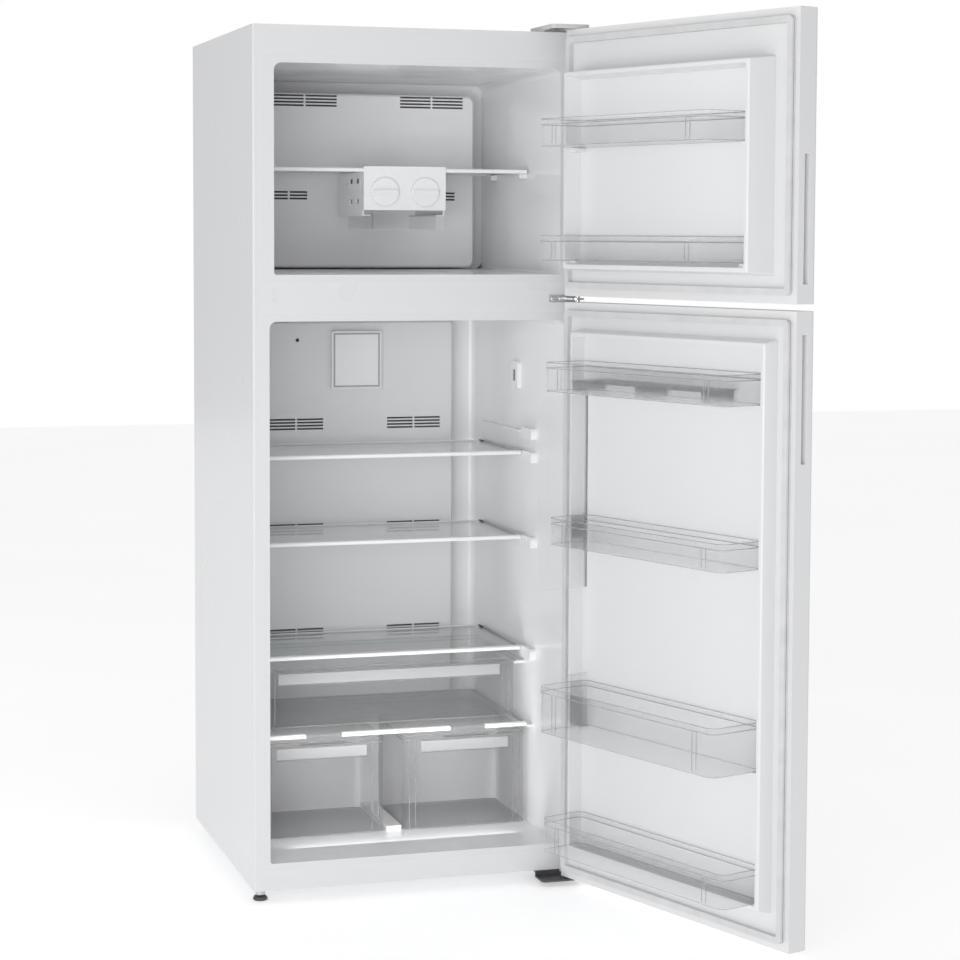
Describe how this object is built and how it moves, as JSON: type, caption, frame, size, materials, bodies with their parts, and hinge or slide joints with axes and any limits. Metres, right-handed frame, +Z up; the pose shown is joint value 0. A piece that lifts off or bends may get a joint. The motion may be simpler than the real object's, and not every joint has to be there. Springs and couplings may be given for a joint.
{
  "type": "top freezer refrigerator",
  "caption": "Upright top-freezer refrigerator with two hinged doors, glass shelves, clear drawers, door bins and a twist ice maker, shown with both doors open.",
  "frame": {"origin": "on the floor under the middle of the cabinet, halfway between its front and back faces", "axes": "+X to the right seen from the front, +Y from the front to the back, +Z up"},
  "size_m": [0.9301, 1.349, 1.809],
  "materials": {
    "white_steel": "smooth gloss paint",
    "liner_white": "vacuum-formed, slightly glossy",
    "trim_white": "moulded, satin",
    "panel_white": "moulded, fine satin",
    "clear_plastic": "clear, polished",
    "ice_white": "moulded, satin",
    "shelf_glass": "clear toughened",
    "seal_grey": "soft, matte",
    "foam": "closed-cell, hidden",
    "galvanised": "zinc-coated sheet",
    "zinc_steel": "zinc plated",
    "dark_plastic": "moulded, matte",
    "compressor_black": "black enamel",
    "coil_dark": "black enamel",
    "bare_aluminium": "mill finish",
    "grey_plastic": "moulded, satin"
  },
  "bodies": {
    "cabinet": {"outer_casing": "white_steel", "mullion_strip": "white_steel", "back_panel": "galvanised", "foam_insulation": "foam", "fridge_liner": "liner_white", "freezer_liner": "liner_white", "base_plate": "galvanised", "compressor": "compressor_black", "condenser": "coil_dark", "rear_grille": "galvanised", "evaporator": "bare_aluminium", "freezer_air_panel": "panel_white", "fridge_air_duct": "panel_white", "light_cover": "panel_white", "sensor_cover": "trim_white", "top_hinge": "zinc_steel", "middle_hinge": "zinc_steel", "bottom_hinge": "dark_plastic", "hinge_screws": "zinc_steel", "top_hinge_cover": "grey_plastic", "crisper_cover_glass": "shelf_glass", "crisper_cover_trim": "trim_white"},
    "freezer_door": {"freezer_door_skin": "white_steel", "freezer_door_trim": "trim_white", "freezer_door_foam": "foam", "freezer_door_liner": "liner_white", "freezer_door_gasket": "seal_grey"},
    "fridge_door": {"fridge_door_skin": "white_steel", "fridge_door_trim": "trim_white", "fridge_door_foam": "foam", "fridge_door_liner": "liner_white", "fridge_door_gasket": "seal_grey", "adjustable_rail": "clear_plastic"},
    "freezer_bin_upper": {"freezer_bin_upper": "clear_plastic"},
    "freezer_bin_lower": {"freezer_bin_lower": "clear_plastic"},
    "egg_bin": {"egg_bin": "clear_plastic", "egg_tray": "clear_plastic"},
    "adjustable_bin": {"adjustable_bin": "clear_plastic"},
    "bottle_bin": {"bottle_bin": "clear_plastic"},
    "bottom_bin": {"bottom_bin": "clear_plastic"},
    "freezer_shelf": {"freezer_shelf_glass": "shelf_glass", "freezer_shelf_trim": "trim_white", "ice_maker_housing": "ice_white"},
    "ice_tray_left": {"ice_tray_left": "ice_white"},
    "ice_tray_right": {"ice_tray_right": "ice_white"},
    "ice_bin": {"ice_bin": "clear_plastic"},
    "top_shelf": {"top_shelf_glass": "shelf_glass", "top_shelf_trim": "trim_white"},
    "middle_shelf": {"middle_shelf_glass": "shelf_glass", "middle_shelf_trim": "trim_white"},
    "low_shelf": {"low_shelf_glass": "shelf_glass", "low_shelf_trim": "trim_white"},
    "chiller_drawer": {"chiller_drawer": "clear_plastic"},
    "crisper_left": {"crisper_left": "clear_plastic"},
    "crisper_right": {"crisper_right": "clear_plastic"},
    "front_foot_left": {"front_foot_left": "dark_plastic"},
    "front_foot_right": {"front_foot_right": "dark_plastic"},
    "rear_roller_left": {"rear_roller_left": "dark_plastic"},
    "rear_roller_right": {"rear_roller_right": "dark_plastic"},
    "fan_blade": {"fan_blade": "dark_plastic"}
  },
  "joints": [
    {"name": "freezer_door_hinge", "type": "hinge", "parent": "cabinet", "child": "freezer_door", "pos_m": [0.333, -0.366, 1.5235], "axis": [0, 0, 1], "range_deg": [-109.3, 15.7]},
    {"name": "fridge_door_hinge", "type": "hinge", "parent": "cabinet", "child": "fridge_door", "pos_m": [0.333, -0.366, 0.626], "axis": [0, 0, 1], "range_deg": [-109.3, 15.7]},
    {"name": "freezer_bin_upper_lift", "type": "slide", "parent": "freezer_door", "child": "freezer_bin_upper", "axis": [0, 0, 1], "range_m": [0, 0.03]},
    {"name": "freezer_bin_lower_lift", "type": "slide", "parent": "freezer_door", "child": "freezer_bin_lower", "axis": [0, 0, 1], "range_m": [0, 0.03]},
    {"name": "egg_bin_lift", "type": "slide", "parent": "fridge_door", "child": "egg_bin", "axis": [0, 0, 1], "range_m": [0, 0.02]},
    {"name": "adjustable_bin_height", "type": "slide", "parent": "fridge_door", "child": "adjustable_bin", "axis": [0, 0, 1], "range_m": [-0.06, 0.1]},
    {"name": "bottle_bin_lift", "type": "slide", "parent": "fridge_door", "child": "bottle_bin", "axis": [0, 0, 1], "range_m": [0, 0.02]},
    {"name": "bottom_bin_lift", "type": "slide", "parent": "fridge_door", "child": "bottom_bin", "axis": [0, 0, 1], "range_m": [0, 0.02]},
    {"name": "freezer_shelf_slide", "type": "slide", "parent": "cabinet", "child": "freezer_shelf", "axis": [0, -1, 0], "range_m": [0, 0.2]},
    {"name": "ice_tray_left_twist", "type": "hinge", "parent": "freezer_shelf", "child": "ice_tray_left", "pos_m": [-0.024, -0.0235, 1.46475], "axis": [0, 1, 0], "range_deg": [0, 120], "stiffness_Nm_per_rad": 0.15, "springref_deg": -5.73},
    {"name": "ice_tray_right_twist", "type": "hinge", "parent": "freezer_shelf", "child": "ice_tray_right", "pos_m": [0.065, -0.0235, 1.46475], "axis": [0, 1, 0], "range_deg": [0, 120], "stiffness_Nm_per_rad": 0.15, "springref_deg": -5.73},
    {"name": "ice_bin_slide", "type": "slide", "parent": "freezer_shelf", "child": "ice_bin", "axis": [0, -1, 0], "range_m": [0, 0.12]},
    {"name": "top_shelf_slide", "type": "slide", "parent": "cabinet", "child": "top_shelf", "axis": [0, -1, 0], "range_m": [0, 0.25]},
    {"name": "middle_shelf_slide", "type": "slide", "parent": "cabinet", "child": "middle_shelf", "axis": [0, -1, 0], "range_m": [0, 0.25]},
    {"name": "low_shelf_slide", "type": "slide", "parent": "cabinet", "child": "low_shelf", "axis": [0, -1, 0], "range_m": [0, 0.25]},
    {"name": "chiller_slide", "type": "slide", "parent": "cabinet", "child": "chiller_drawer", "axis": [0, -1, 0], "range_m": [0, 0.25]},
    {"name": "crisper_left_slide", "type": "slide", "parent": "cabinet", "child": "crisper_left", "axis": [0, -1, 0], "range_m": [0, 0.22]},
    {"name": "crisper_right_slide", "type": "slide", "parent": "cabinet", "child": "crisper_right", "axis": [0, -1, 0], "range_m": [0, 0.22]},
    {"name": "front_foot_left_turn", "type": "hinge", "parent": "cabinet", "child": "front_foot_left", "pos_m": [-0.332, -0.305, 0.008], "axis": [0, 0, 1], "continuous": true},
    {"name": "rear_roller_left_spin", "type": "hinge", "parent": "cabinet", "child": "rear_roller_left", "pos_m": [-0.26, 0.298, 0.015], "axis": [1, 0, 0], "continuous": true},
    {"name": "front_foot_right_turn", "type": "hinge", "parent": "cabinet", "child": "front_foot_right", "pos_m": [0.332, -0.305, 0.008], "axis": [0, 0, 1], "continuous": true},
    {"name": "rear_roller_right_spin", "type": "hinge", "parent": "cabinet", "child": "rear_roller_right", "pos_m": [0.26, 0.298, 0.015], "axis": [1, 0, 0], "continuous": true},
    {"name": "fan_spin", "type": "hinge", "parent": "cabinet", "child": "fan_blade", "pos_m": [0, 0.17, 1.61], "axis": [0, 1, 0], "continuous": true}
  ]
}
